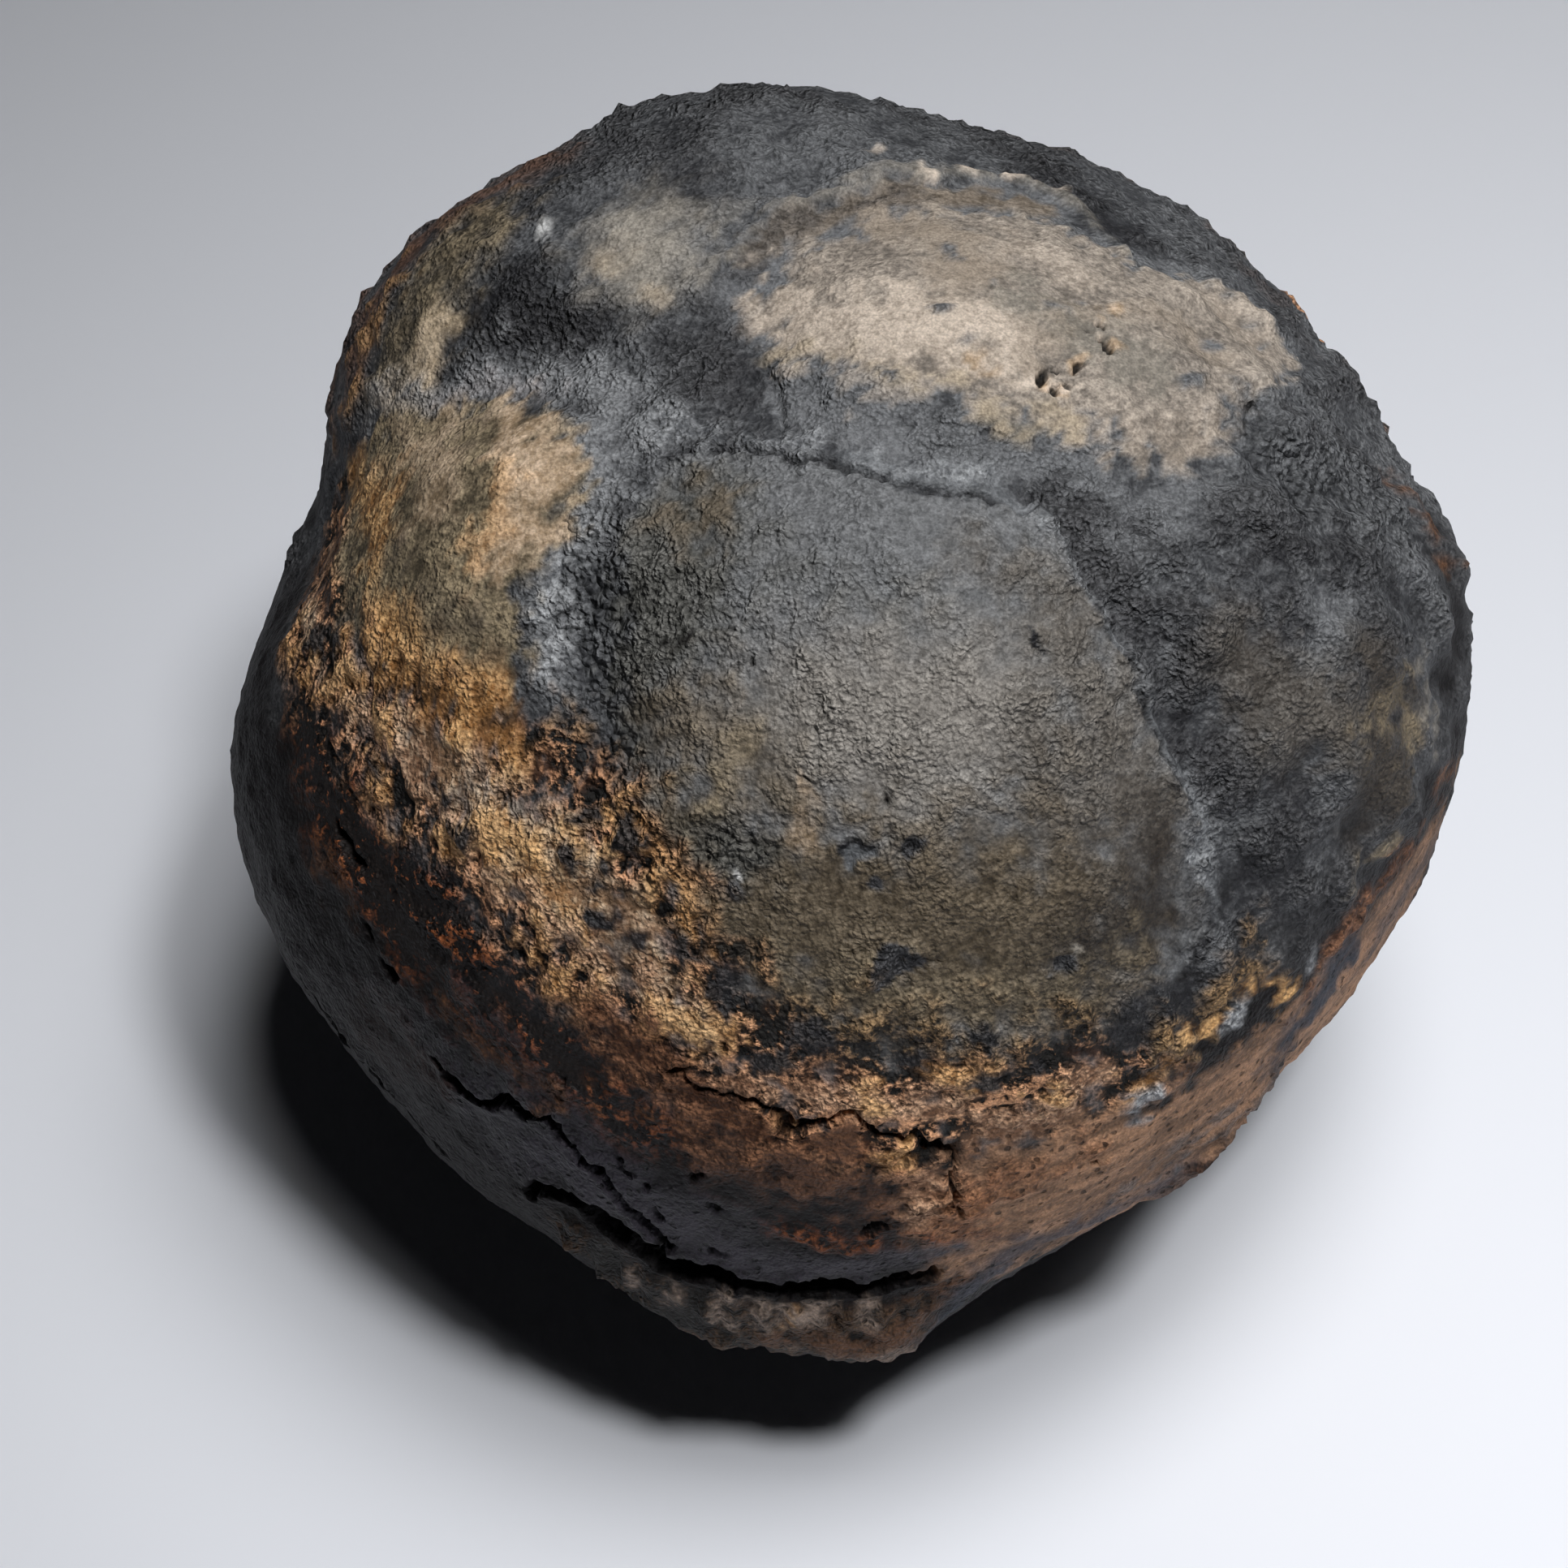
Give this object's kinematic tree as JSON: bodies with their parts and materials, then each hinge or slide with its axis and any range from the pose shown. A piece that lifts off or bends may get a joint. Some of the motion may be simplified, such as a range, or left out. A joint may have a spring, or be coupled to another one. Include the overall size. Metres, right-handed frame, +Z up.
{
  "type": "crinoid lobolith fossil",
  "caption": "Rounded, lobed fossil root bulb of a sea lily in mottled grey, tan and rust stone, with seams, cracks and a broken wall rim; rests on a small flat spot as a display piece.",
  "frame": {"origin": "centre of the bounding box on the surface that the stone rests on", "axes": "+Z up from the resting flat; -Y is the front, where the broken wall rim is; +X is to the right seen from the front"},
  "size_m": [0.1224, 0.1232, 0.1034],
  "materials": {
    "fossil_stone": "matt weathered stone, mottled slate grey, tan, ochre and rust, with a fine leathery grain"
  },
  "bodies": {
    "root": {"lobolith": "fossil_stone"}
  },
  "joints": []
}
